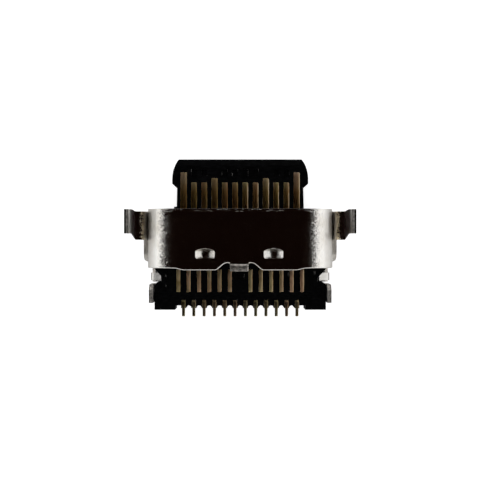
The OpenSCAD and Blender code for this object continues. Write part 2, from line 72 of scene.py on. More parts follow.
# Depths behind the front rim and widths of the shell's rear edge, with the scored stub in its middle.
SHELL_L = 2.865 * MM
LOBE_BACK = 2.955 * MM
LOBE_X = 3.2 * MM
LOBE_STEP = 0.55 * MM
RELIEF_TOP = 2.605 * MM
RELIEF_R = 0.12 * MM
SWEEP_X = 1.18 * MM
STUB_HALF = 0.445 * MM
STUB_ROOT = RELIEF_TOP + 0.05 * MM
STUB_EASE = 0.05 * MM
STUB_SIDE_R = 0.06 * MM
STUB_EDGE_R = 0.03 * MM
SCORE_LENGTHS = np.array([0, 0.09, 0.19, 0.29, 0.33]) * MM
SCORE_FALLS = np.array([0, 0.06, 0.062, 0.08, 0.095]) * MM
HEEL_R = 0.03 * MM

# Shift of the stamped pattern, to the left, and the width over which it fades out at the round ends.
PATTERN_SHIFT = -0.045 * MM
PATTERN_FADE = 0.5 * MM

# The shell's lanced dimples and the trimming die's marks behind its front rim.
DIMPLE_X = 1.64 * MM
DIMPLE_OUT = 2.2 * MM
DIMPLE_SHEAR = 2.405 * MM
DIMPLE_LEAD = 0.03 * MM
DIMPLE_FRONT_R = 0.9 * MM
DIMPLE_SLOPE = 0.5
DIMPLE_WALL = 0.26 * MM
DIMPLE_BOTTOM = 0.22 * MM
DIMPLE_CORNER_R = 0.12 * MM
TRIM_DEPTHS = (0.05 * MM, 0.12 * MM)
TRIM_REACH = 0.04 * MM
TRIM_SLOPE = 0.9

# Rows of the shell's outer face between its knots, the last steps before its rear round, and creases.
SHELL_ROWS = (56, 14, 26, 1, 8, 3, 3, 4)
REAR_STEPS = (0.06 * MM, 0.04 * MM, 0.02 * MM)
SHELL_CREASE = np.radians(38)
SHARP = np.radians(50)

# The bracket's own box gives its span and the leg ends. Its depths start at the front rim.
bracket_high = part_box("mount_bracket")[1]
LEG_TOP = bracket_high.z
LEG_OUT = bracket_high.x
BEND_R = 0.12 * MM
SHOULDER_R = 0.3 * MM
BOARD_Z = 2.45 * MM
BRACKET_FRONT = 0.12 * MM
WING_BACK = 1.5 * MM
WALL_BACK = 2.58 * MM
WALL_ROUND_L = 0.5 * MM
WALL_ROUND_H = 1.0 * MM
FLANK_BACK = 3.57 * MM
FLANK_H = 0.8 * MM
LEG_FRONT = 0.015 * MM
LEG_BACK = 1.195 * MM
SWING_L = 0.24 * MM
CORNER_W = 0.21 * MM
REAR_LEG_FRONT = 3.67 * MM
REAR_LEG_BACK = 4.545 * MM
REAR_LEG_IN = 4.21 * MM
SLANT_L = 0.265 * MM
SLANT_H = 0.4 * MM
TAB_FRONT = 3.12 * MM
TAB_BACK = 3.5 * MM
TAB_CURL = 0.2 * MM
TAB_LEAN = 60
TAB_L = 0.43 * MM
NOTCH_FRONT = 2.91 * MM
NOTCH_X = 4.2 * MM
NOTCH_SLANT = 0.43 / 0.41
WELD_X = 0.8 * END_X
WELD_DEPTHS = (0.7 * MM, SHELL_L - 0.7 * MM)
WELD_REACH = 0.7
WELD_FADE = 0.24
FINE_STEPS = 27
FINE_MARGIN = 1.04

# Depths, heights and widths of the contacts, and the place after which their right edges are coined and
# carry a painted highlight.
PITCH = 0.5 * MM
TONGUE_OUT = 2.42 * MM
TONGUE_HALF_T = 0.35 * MM
TIP_GAPS = {"ground": 0.62 * MM, "power": 0.91 * MM, "signal": 1.11 * MM}
TIP_STEPS = np.array([0, 0.008, 0.025, 0.06]) * MM
TIP_SWELL = [0.7, 0.88, 0.97]
TIP_DIP = 0.03 * MM
TIP_DIP_L = 0.12 * MM
TIP_L = 0.2 * MM
END_WIDTH = 0.6
POWER_HALF = 0.1475 * MM
SIGNAL_HALF = 0.135 * MM
TAIL_HALF = 0.091 * MM
TAIL_END_HALF = 0.0725 * MM
TAIL_TAPER = 0.15 * MM
TAIL_EASE = 0.05 * MM
TAIL_OFFSET = 0.25 * MM
STEP_FRONT = 1.99 * MM
STEP_BACK = 2.485 * MM
NEAR_TAIL_BACK = 4.025 * MM
CAVITY_DEPTH = 1.88 * MM
BASE_BACK = 2.595 * MM
RISER_FRONT = 4.365 * MM
TURN_R = 0.1 * MM
HOUSING_BACK = 4.685 * MM
TAIL_END = 5.21 * MM
BRIGHT_AFTER = 6
COIN_SLOPE = 0.9
CORNER_STEPS = 5

# Plating by distance from the middle in millimetres: grain, and stretches over which it gets duller.
SHELL_GRAIN = (3.0, 3.5, 0.04, 0.19, 28)
SHELL_DULL = [(2.9, 3.4, 0.11), (4.0, 4.2, 0.28)]
DIMPLE_GRAIN = (0.1, 0.2, 0.08, 0.08, 28)
DIMPLE_DULL = [(0.1, 0.2, 0.13)]
BRACKET_GRAIN = (4.3, 4.5, 0.06, 0.12, 22)
BRACKET_DULL = [(3.5, 3.6, 0.25), (4.3, 4.4, -0.25), (4.8, 4.9, 0.08), (5.0, 5.3, 0.22), (5.28, 5.4, 0.2)]

# Where the shell's sides are lifted, by that distance and by Y, and where the bracket's shoulders wear.
SHELL_LIFT = 0.45
LIFT_FROM = (3.98, 4.14)
LIFT_TO = (4.22, 4.34)
LIFT_Y = (0.15, 0.35)
BRACKET_PEEL = 0.55
SHOULDER_X = 4.75
SHOULDER_REACH = (0.02, 0.2)
SHOULDER_Z = (1.8, 2.1)

# Stops over a span of that distance where shade is painted on the sheared edges, and where they are clean
# and dull.
SHEAR_SPAN = (4, 6)
SHEAR_PAINTED_SHADE = [
    (0.18, 0), (0.2, 0.57), (0.215, 0.57), (0.23, 0), (0.69, 0),
    (0.7, 0.38), (0.71, 0.38), (0.72, 0), (0.757, 0), (0.767, 0.97),
]
SHEAR_PALE = [
    (0.09, 0), (0.11, 0.1), (0.22, 0.1), (0.24, 0.3),
    (0.34, 0.3), (0.36, 0), (0.7, 0), (0.74, 0.12),
]

# Roughness of the contacts by stops over a span of Y, and the stretch over which the painted highlight on
# their coined edges fades.
GOLD_SPAN = (-4, 4)
GOLD_DULL = [
    (0.08, 0.42), (0.105, 0.32), (0.14, 0.34), (0.17, 0.62), (0.25, 0.6), (0.3, 0.4),
    (0.66, 0.3), (0.72, 0.33), (0.77, 0.45), (0.8, 0.52), (0.88, 0.6),
]
COIN_FADE = (2.4, 1.8)

# The stage: floor, dark card, light and camera.
FLOOR_Z = -0.003 * MM
FLOOR_R = 0.6
FLOOR_WHITE = 0.6
SHADE_POWER = 0.6
SHADE_LEAST = 0.14
PORT_HALF_L = 3 * MM
CARD = (0.0045, 0.0019, 0.0012, 1)
WHITE = (1, 1, 1, 1)
SOFT_LIGHT = 0.9
CAMERA_XY = (-0.01 * MM, -0.114 * MM)
DISC_SIDES = 96
DISC_RINGS = np.array([0.02, 0.35, 0.7, 1.0])


def length(name, description, millimetres):
    """Property for a length that starts at so many millimetres."""
    return bpy.props.FloatProperty(
        name=name, description=description, default=millimetres * MM, unit="LENGTH", precision=6
    )


def tint(name, owner, *colour):
    """Property for the colour of its owner."""
    return bpy.props.FloatVectorProperty(
        name=name, description=f"Colour of the {owner}", default=colour, size=3, subtype="COLOR",
        min=0, max=1,
    )


def factor(name, description, share):
    """Property for a share from 0 to 1."""
    return bpy.props.FloatProperty(
        name=name, description=description, default=share, min=0, max=1, subtype="FACTOR"
    )


class PortSizes(bpy.types.PropertyGroup):
    """Sizes of the fine surfaces"""

    wall: length("Shell wall", "Wall thickness of the shell", 0.34)
    rim_round: length("Rim round", "Radius of the front rim's edges", 0.003)
    rear_round: length("Rear round", "Radius of the shell's rolled rear edge", 0.055)
    dimple_width: length("Dimple width", "Width of a lanced dimple", 0.945)
    dimple_length: length("Dimple length", "Length of a dimple up to its shear", 0.49)
    dimple_depth: length("Dimple depth", "Depth of a lanced dimple", 0.28)
    trim_step: length("Trim mark", "Step that the trimming die left behind the front rim", 0.008)
    sheet: length("Bracket sheet", "Sheet thickness of the bracket", 0.2)
    sheet_round: length("Sheet edge round", "Radius of the bracket's sheared edges", 0.055)
    weld_width: length("Weld spot", "Diameter of a weld spot on the bracket's back", 0.36)
    weld_depth: length("Weld depth", "Depth of a weld spot", 0.02)
    contact: length("Contact strip", "Thickness of the contact strip", 0.12)
    contact_coin: length(
        "Contact coined edge", "Width of the flat on the upper right of the right-hand contacts", 0.03
    )
    contact_burr: length("Contact edge round", "Radius of the contacts' plain edges", 0.012)


class PortFinishes(bpy.types.PropertyGroup):
    """Colours and gloss of the finishes"""

    nickel: tint("Nickel", "plated shell and bracket", 0.94, 0.92, 0.88)
    nickel_stain: tint("Nickel stain", "handled patches of the plating", 0.80, 0.76, 0.69)
    nickel_worn: tint("Nickel worn", "plating worn brown on the bracket's shoulders", 0.95, 0.80, 0.55)
    # Painted shade: near-black lines painted along the sheared edges.
    shear_shade: tint("Sheared shade", "painted shade lines along the sheared edges", 0.02, 0.018, 0.016)
    sheared: tint("Sheared edge", "bare metal at sheared and broken edges", 0.88, 0.83, 0.77)
    # Painted highlight: the paler grey colour painted at the contact tips.
    gold_tip: tint("Contact tip", "rubbed contact tips", 0.72, 0.63, 0.49)
    gold_root: tint("Contact root", "contacts towards the shell", 0.44, 0.27, 0.11)
    tail_pale: tint("Front tail", "front solder tails", 0.92, 0.73, 0.52)
    tail_dark: tint("Rear tail", "rear solder tails", 0.54, 0.46, 0.33)
    # Painted highlight: pale gold painted on the coined right edges of the right-hand contacts.
    gold_highlight: tint("Gold highlight", "contacts' coined edges", 0.90, 0.72, 0.48)
    red_cast: tint("Red cast", "redder contacts' cast", 1.0, 0.84, 0.78)
    olive_cast: tint("Olive cast", "greener contacts' cast", 0.94, 1.0, 0.78)
    steel: tint("Steel", "bare stamped plates", 0.60, 0.59, 0.57)
    moulding: tint("Moulding", "black insulators", 0.001, 0.001, 0.0012)
    # Painted sheen: the pale colour painted on the plastic's side edges.
    moulding_sheen: tint("Moulding sheen", "plastic's painted edge sheen", 0.42, 0.41, 0.40)
    nickel_roughness: factor("Nickel roughness", "Roughness of the clean plating", 0.1)
    sheared_roughness: factor("Sheared roughness", "Roughness of sheared and broken edges", 0.54)
    moulding_roughness: factor("Moulding roughness", "Roughness of the black insulators", 0.4)


class PortStage(bpy.types.PropertyGroup):
    """Camera, floor and light"""

    view_width: length("View width", "Width of the picture at the tongue", 23.358)
    camera_height: length("Camera height", "Height of the camera above the tongue", 70)
    flag_height: length("Flag height", "Height of the dark card over the camera", 90)
    flag_angle: bpy.props.FloatProperty(
        name="Flag angle", description="Half angle of the dark card seen from the port", default=1.12,
        subtype="ANGLE",
    )
    flag_shift: length("Flag shift", "Shift of the dark card to the left of the camera", 48)
    shade_reach: length("Shade reach", "Reach of the shade round the port that its metal mirrors", 9)
    floor: tint("Floor", "floor", 0.9, 0.9, 0.9)


def half_wave(t):
    """Rise from 0 to 1 along half a cosine wave."""
    return (1 - np.cos(np.pi * t)) / 2


def s_step(start, end, count):
    """Points from start to end whose first value runs evenly and whose second follows half a cosine wave."""
    t = np.linspace(0, 1, count)
    return np.stack([start[0] + (end[0] - start[0]) * t, start[1] + (end[1] - start[1]) * half_wave(t)], 1)


def arc(centre, radius, start, end, count):
    """Points on a circle about centre, from the start angle to the end angle, in degrees."""
    a = np.radians(np.linspace(start, end, count))
    return np.stack([centre[0] + radius * np.cos(a), centre[1] + radius * np.sin(a)], 1)


def joined(*runs):
    """Runs of points one after the other, without the first point of each later run, which repeats."""
    return np.concatenate([runs[0]] + [run[1:] for run in runs[1:]])


def grid_faces(rows, columns, round_rows=False, round_columns=False):
    """Quads of a grid numbered row by row, closed on itself along the rows or columns that run round."""
    r = np.arange(rows if round_rows else rows - 1)[:, None]
    c = np.arange(columns if round_columns else columns - 1)[None, :]
    r1, c1 = (r + 1) % rows, (c + 1) % columns
    corners = np.broadcast_arrays(r * columns + c, r * columns + c1, r1 * columns + c1, r1 * columns + c)
    return np.stack(corners, -1).reshape(-1, 4)


def put_piece(name, points, faces, caps, node, slot, finish, crease):
    """Closed surface for a CAD node from its points and quads, turned outwards by its volume's sign."""
    points = np.asarray(points, float).reshape(-1, 3)
    a, b, c, d = (points[faces[:, k]] for k in range(4))
    turn = -1 if np.sum(a * (np.cross(b, c) + np.cross(c, d))) < 0 else 1
    mesh = bpy.data.meshes.new(name)
    mesh.from_pydata(points.tolist(), [], [f[::turn] for f in faces.tolist() + caps])
    mesh.validate()
    mesh.shade_smooth()
    mesh.set_sharp_from_angle(angle=crease)
    return dress(name, mesh, node, finish)


def dress(name, mesh, node, finish):
    """Object at the origin for a mesh: it rides on the body, stands for its CAD node and has its finish."""
    piece = bpy.data.objects.new(name, mesh)
    bpy.context.scene.collection.objects.link(piece)
    mesh.materials.append(finish)
    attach(piece, BODY)
    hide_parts(node)
    return piece


def add_node(tree, kind, inputs=None, **settings):
    """Node of a kind with its settings, each input being a value or the socket that feeds it. The functions
    below find the tree from the socket that they start with."""
    made = tree.nodes.new(kind)
    for key, value in settings.items():
        setattr(made, key, value)
    for key, value in (inputs or {}).items():
        if isinstance(value, bpy.types.NodeSocket):
            tree.links.new(value, made.inputs[key])
        else:
            made.inputs[key].default_value = value
    return made


def blank_finish(name):
    """New material, and in it the object's coordinates in millimetres."""
    material = bpy.data.materials.new(name)
    material.use_nodes = True
    coords = add_node(material.node_tree, "ShaderNodeTexCoord").outputs["Object"]
    inputs = {"Vector": coords, "Scale": (1 / MM, 1 / MM, 1 / MM)}
    return material, add_node(material.node_tree, "ShaderNodeMapping", inputs).outputs["Vector"]


def finished(material, colour, rough, normal=None, metal=1, specular=0.5):
    """Material with its colour, roughness and, where there is one, normal, as a metal or a plastic."""
    shader = material.node_tree.nodes["Principled BSDF"]
    shader.inputs["Metallic"].default_value = metal
    shader.inputs["Specular IOR Level"].default_value = specular
    for name, socket in (("Base Color", colour), ("Roughness", rough), ("Normal", normal)):
        if socket:
            material.node_tree.links.new(socket, shader.inputs[name])
    return material


def maths(operation, first, second=0):
    """Value by an operation on one or two others."""
    return add_node(first.id_data, "ShaderNodeMath", {0: first, 1: second}, operation=operation).outputs[0]


def vector(operation, *inputs, output="Vector"):
    """Vector by an operation on others, or the value that such an operation gives."""
    made = add_node(inputs[0].id_data, "ShaderNodeVectorMath", dict(enumerate(inputs)), operation=operation)
    return made.outputs[output]


def split(place):
    """Sockets of a place's X, Y and Z."""
    return add_node(place.id_data, "ShaderNodeSeparateXYZ", {"Vector": place}).outputs


def remap(value, low, high, to_low, to_high):
    """Value moved from one range to another, held at its ends."""
    inputs = {"Value": value, "From Min": low, "From Max": high, "To Min": to_low, "To Max": to_high}
    return add_node(value.id_data, "ShaderNodeMapRange", inputs).outputs["Result"]


def noise(place, scale, detail, stretch=None):
    """Noise value at a scale per millimetre, stretched along an axis where stretch is given."""
    tree = place.id_data
    if stretch:
        place = add_node(tree, "ShaderNodeMapping", {"Vector": place, "Scale": stretch}).outputs["Vector"]
    made = add_node(tree, "ShaderNodeTexNoise", {"Vector": place, "Scale": scale, "Detail": detail})
    return made.outputs["Fac"]


def mottle(place, scale, detail, span, to=(0, 1), stretch=None):
    """Noise of which a span of values is spread over a range, held at its ends."""
    return remap(noise(place, scale, detail, stretch), *span, *to)


def blend_colour(share, first, second):
    """Colour between two, by a share from 0 to 1, each colour being written out or a socket."""
    sides = [c if isinstance(c, bpy.types.NodeSocket) else (*c, 1) for c in (first, second)]
    inputs = {0: share, 6: sides[0], 7: sides[1]}
    return add_node(share.id_data, "ShaderNodeMix", inputs, data_type="RGBA").outputs[2]


def ramp(value, stops):
    """Colour by a value from 0 to 1, running straight between stops of place and colour."""
    made = add_node(value.id_data, "ShaderNodeValToRGB", {"Fac": value})
    while len(made.color_ramp.elements) < len(stops):
        made.color_ramp.elements.new(0.5)
    for element, (at, colour) in zip(made.color_ramp.elements, stops):
        element.position = at
        element.color = (*colour, 1)
    return made.outputs["Color"]


def grey_ramp(value, stops):
    """Grey by a value from 0 to 1, running straight between stops of place and grey."""
    return ramp(value, [(at, (grey, grey, grey)) for at, grey in stops])


def bump(height, reach, under=None):
    """Normal bumped by a height from 0 to 1 that stands for reach metres, on top of another if given."""
    inputs = {"Height": height, "Distance": reach, "Strength": 1.0}
    if under:
        inputs["Normal"] = under
    return add_node(height.id_data, "ShaderNodeBump", inputs).outputs["Normal"]


def tilted_cells(place, scale, amount):
    """Normal that leans at random from one small cell of the plating to the next, by an amount."""
    tree = place.id_data
    cells = add_node(tree, "ShaderNodeTexVoronoi", {"Vector": place, "Scale": scale}).outputs["Color"]
    lean = vector("SUBTRACT", cells, (0.5, 0.5, 0.5))
    lean = add_node(tree, "ShaderNodeVectorMath", {0: lean, "Scale": amount}, operation="SCALE").outputs[0]
    face = add_node(tree, "ShaderNodeNewGeometry").outputs["Normal"]
    return vector("NORMALIZE", vector("ADD", face, lean))


def plated_nickel(name, finishes, grain, sides, peel=0, lift=0):
    """Satin nickel: small cells that lean at random, handled patches in the colour, and a few dull specks.
    The grain gives two distances from the middle, in millimetres, how far the cells lean up to the first and
    from the second, and how many there are to a millimetre. Each side is a stretch of that distance over
    which the finish gets duller, and by how much. A peel is how much more the cells lean on the bracket's
    stretched shoulders, where the plating wears brown. A lift turns the shell's sides upwards beside the
    wings, so that they mirror the light over the wings."""
    material, place = blank_finish(name)
    patches = mottle(place, 0.9, 3, (0.45, 0.75))
    colour = blend_colour(patches, finishes.nickel, finishes.nickel_stain)
    specks = mottle(place, 9, 4, (0.72, 0.78), (0, 0.14))
    dull = mottle(place, 2.2, 3, (0.4, 0.8), (0, 0.05))
    rough = maths("ADD", maths("ADD", specks, dull), finishes.nickel_roughness)
    spot = split(place)
    out = maths("ABSOLUTE", spot["X"])
    for low, high, more in sides:
        rough = maths("ADD", rough, remap(out, low, high, 0, more))
    lean = remap(out, *grain[:4])
    if peel:
        beside = maths("ABSOLUTE", maths("SUBTRACT", out, SHOULDER_X))
        near = remap(beside, *SHOULDER_REACH, 1, 0)
        near = maths("MULTIPLY", near, remap(spot["Z"], *SHOULDER_Z, 0, 1))
        lean = maths("ADD", lean, maths("MULTIPLY", near, peel))
        colour = blend_colour(near, colour, finishes.nickel_worn)
    uneven = mottle(place, grain[4], 1, (0.3, 0.7), (0.4, 2.2))
    facing = tilted_cells(place, grain[4], maths("MULTIPLY", lean, uneven))
    if lift:
        up = maths("MULTIPLY", remap(out, *LIFT_FROM, 0, lift), remap(out, *LIFT_TO, 1, 0))
        up = maths("MULTIPLY", up, remap(spot["Y"], *LIFT_Y, 0, 1))
        raised = add_node(up.id_data, "ShaderNodeCombineXYZ", {"Z": up}).outputs[0]
        facing = vector("NORMALIZE", vector("ADD", facing, raised))
    return finished(material, colour, rough, facing)


def sheared_metal(name, finishes, dark=(), pale=()):
    """Bare metal of a sheared or broken edge: torn grain, dark pits and a dull gloss. Dark and pale are
    stops over the distance from the middle that paint shade onto the metal, and that clean it and dull its
    gloss."""
    material, place = blank_finish(name)
    torn = noise(place, 20, 4)
    pits = mottle(place, 7, 3, (0.44, 0.62), (0, 0.7))
    colour = blend_colour(pits, finishes.sheared, [0.3 * v for v in finishes.sheared])
    gloss = finishes.sheared_roughness
    rough = remap(torn, 0.3, 0.7, gloss - 0.12, gloss + 0.12)
    if dark:
        out = remap(maths("ABSOLUTE", split(place)["X"]), *SHEAR_SPAN, 0, 1)
        clean = grey_ramp(out, pale)
        colour = blend_colour(maths("MULTIPLY", clean, 3), colour, finishes.nickel)
        # Painted shade: dark lines painted along the sheared edges.
        colour = blend_colour(grey_ramp(out, dark), colour, finishes.shear_shade)
        rough = maths("ADD", rough, clean)
    return finished(material, colour, rough, bump(torn, 0.014 * MM))


def plated_gold(finishes):
    """Thin dull gold over a copper alloy: a grey highlight painted at the tips, brown towards the shell,
    pale and dull on the front tails and dark on the rear ones, with streaks along the strip, a fine drawn
    grain and a cast that changes from one contact to the next."""
    material, place = blank_finish("contact_gold_finish")
    along = remap(split(place)["Y"], *GOLD_SPAN, 0, 1)
    dark, pale, root, tip = finishes.tail_dark, finishes.tail_pale, finishes.gold_root, finishes.gold_tip
    # Painted highlight: the tip stop paints the contacts paler and greyer at their tips.
    plain = ramp(along, [(0.12, dark), (0.17, pale), (0.35, pale), (0.66, root), (0.78, root), (0.9, tip)])
    dull = grey_ramp(along, GOLD_DULL)
    worn = mottle(place, 2.2, 3, (0.4, 0.75), (0, 0.55))
    streaks = noise(place, 30, 2, (1, 0.08, 1))
    rough = maths("ADD", dull, remap(streaks, 0.3, 0.7, -0.05, 0.06))
    hue = mottle(place, 1.7, 1, (0.38, 0.62), stretch=(1, 0.15, 0.15))
    cast = blend_colour(hue, finishes.red_cast, finishes.olive_cast)
    sides = {0: 1.0, 6: blend_colour(worn, plain, root), 7: cast}
    both = add_node(cast.id_data, "ShaderNodeMix", sides, data_type="RGBA", blend_type="MULTIPLY")
    return finished(material, both.outputs[2], rough, bump(streaks, 0.0015 * MM))


def highlight_gold(finishes):
    """Gold with a highlight painted along a coined edge, which fades to brown in stretches and towards the
    root.
    """
    material, place = blank_finish("highlight_gold_finish")
    root = remap(split(place)["Y"], *COIN_FADE, 0, 0.45)
    faded = maths("MAXIMUM", mottle(place, 1.9, 2, (0.5, 0.62), (0, 0.85)), root)
    colour = blend_colour(faded, finishes.gold_highlight, finishes.gold_root)
    return finished(material, colour, mottle(place, 6, 2, (0.35, 0.65), (0.3, 0.5)))


def stamped_steel(finishes):
    """Bare stamped plate: rolled lines along its length and a faint mottle."""
    material, place = blank_finish("plate_steel_finish")
    lines = noise(place, 24, 3, (1, 0.06, 1))
    darker = [0.75 * v for v in finishes.steel]
    colour = blend_colour(mottle(place, 2, 3, (0.3, 0.8)), finishes.steel, darker)
    rough = remap(lines, 0.3, 0.7, 0.24, 0.4)
    return finished(material, colour, rough, bump(lines, 0.0015 * MM))


def black_moulding(finishes):
    """Glass-filled black plastic: a fine moulded grain, faint fibre streaks, and a sheen painted pale on the
    side edges in places, where the rounded normal leans away from the face."""
    material, place = blank_finish("black_moulding_finish")
    tree = material.node_tree
    edge = add_node(tree, "ShaderNodeBevel", {"Radius": 0.02 * MM}, samples=4).outputs["Normal"]
    fibres = mottle(place, 16, 3, (0.45, 0.8), stretch=(0.25, 1, 1))
    grain = noise(place, 45, 2)
    gloss = finishes.moulding_roughness
    rough = remap(grain, 0.3, 0.7, gloss - 0.08, gloss + 0.1)
    face = add_node(tree, "ShaderNodeNewGeometry").outputs["Normal"]
    turn = vector("DOT_PRODUCT", edge, face, output="Value")
    across = split(edge)["X"]
    sideways = remap(maths("MULTIPLY", across, across), 0.02, 0.1, 0, 1)
    # Painted sheen: mottled patches where the side edges are painted pale.
    rubbed = mottle(place, 2.6, 2, (0.57, 0.65))
    worn = maths("MULTIPLY", remap(turn, 0.98, 0.85, 0, 1), rubbed)
    worn = maths("MULTIPLY", worn, sideways)
    colour = blend_colour(fibres, finishes.moulding, [2.4 * v + 0.002 for v in finishes.moulding])
    colour = blend_colour(worn, colour, finishes.moulding_sheen)
    return finished(material, colour, rough, bump(grain, 0.002 * MM, edge), metal=0, specular=0.03)


def rear_edge(x):
    """Depth of the shell's rear edge by distance from the middle: the stub, a round relief cut, an S-curve
    out to the lobe, and a smaller step back to the plain side, which runs on."""
    knots = np.concatenate([
        [[0, STUB_BACK], [STUB_HALF - HAIR, STUB_BACK]],
        arc((STUB_HALF + RELIEF_R, RELIEF_TOP + RELIEF_R), RELIEF_R, 180, 270, 13),
        s_step((STUB_HALF + RELIEF_R, RELIEF_TOP), (SWEEP_X, LOBE_BACK), 33)[1:],
        s_step((LOBE_X - LOBE_STEP, LOBE_BACK), (LOBE_X, SHELL_L), 13),
    ])
    return np.interp(np.abs(x), knots[:, 0], knots[:, 1])


def dimple_drop(x, depth, sizes, wall):
    """Fall of a lanced dimple below the shell's top: the lesser of a trough along the plug's axis, a
    hyperbola across whose sides run almost straight into a round bottom, and a cone that closes it in front,
    ending at the shear, where its corners are round. A wall greater than nought gives the swelling of the
    inner face."""
    across = np.abs(x) - DIMPLE_X
    over = np.clip(depth - (DIMPLE_SHEAR - DIMPLE_CORNER_R), 0, DIMPLE_CORNER_R)
    corner = DIMPLE_CORNER_R - np.sqrt(DIMPLE_CORNER_R**2 - over**2)
    steep = sizes.dimple_depth / (np.hypot(sizes.dimple_width / 2, DIMPLE_BOTTOM) - DIMPLE_BOTTOM)
    side = sizes.dimple_depth + wall - steep * (np.hypot(across, DIMPLE_BOTTOM) - DIMPLE_BOTTOM + corner)
    axis = DIMPLE_SHEAR - sizes.dimple_length + DIMPLE_FRONT_R
    front = (DIMPLE_FRONT_R + wall - np.hypot(across, np.minimum(depth - axis, 0))) / DIMPLE_SLOPE
    return np.where(depth < DIMPLE_SHEAR, np.minimum(side, front), 0)


def trim_marks(along, depth, step):
    """Fall left by the trimming die: two marks that wander and fade along the rim by sums of sine waves,
    each a short slope up from the rim."""
    s = along / MM
    total = 0
    for k, plain in enumerate(TRIM_DEPTHS):
        wander = 0.3 * np.sin((4.7 + k) * s + k) + 0.4 * np.sin((13.9 - 3 * k) * s + 1.3)
        wander += 0.3 * np.sin(31 * s + 2 * k)
        height = 0.75 + 0.5 * np.sin((2.3 + k) * s + 2 * k) + 0.5 * np.sin(9.1 * s + 1.9 * k)
        slope = np.clip((plain + TRIM_REACH * wander - depth) / (TRIM_SLOPE * step) + 0.5, 0, 1)
        total = total + step * np.clip(height, 0, 1) * slope
    return total


def shell_columns():
    """Columns round the shell from the middle of the board side to the middle of the other side: the foot of
    each on the plug's middle line, and the direction in which its wall lies."""
    stub = np.linspace(0, STUB_HALF - STUB_EASE, 7)
    stub = np.concatenate([stub, STUB_HALF - STUB_EASE * np.array([0.6, 0.3, 0.1])])
    sides = np.array([STUB_HALF - HAIR, STUB_HALF])
    relief = STUB_HALF + RELIEF_R * (1 + np.cos(np.radians(np.linspace(170, 90, 9))))
    curve = np.linspace(STUB_HALF + RELIEF_R, SWEEP_X, 33)[1:]
    dimple = np.linspace(SWEEP_X, DIMPLE_OUT, 52)[1:]
    rest = np.linspace(DIMPLE_OUT, END_X, 12)[1:]
    near = np.concatenate([stub, sides, relief, curve, dimple, rest])
    angles = np.radians(np.concatenate([np.linspace(90, 70, 21)[1:], np.linspace(70, -90, 49)[1:]]))
    far = np.linspace(END_X, 0, 10)[1:]
    foot = np.concatenate([near, np.full(len(angles), END_X), far])
    out_x = np.concatenate([np.zeros(len(near)), np.cos(angles), np.zeros(len(far))])
    out_z = np.concatenate([np.ones(len(near)), np.sin(angles), -np.ones(len(far))])
    return foot, out_x, out_z


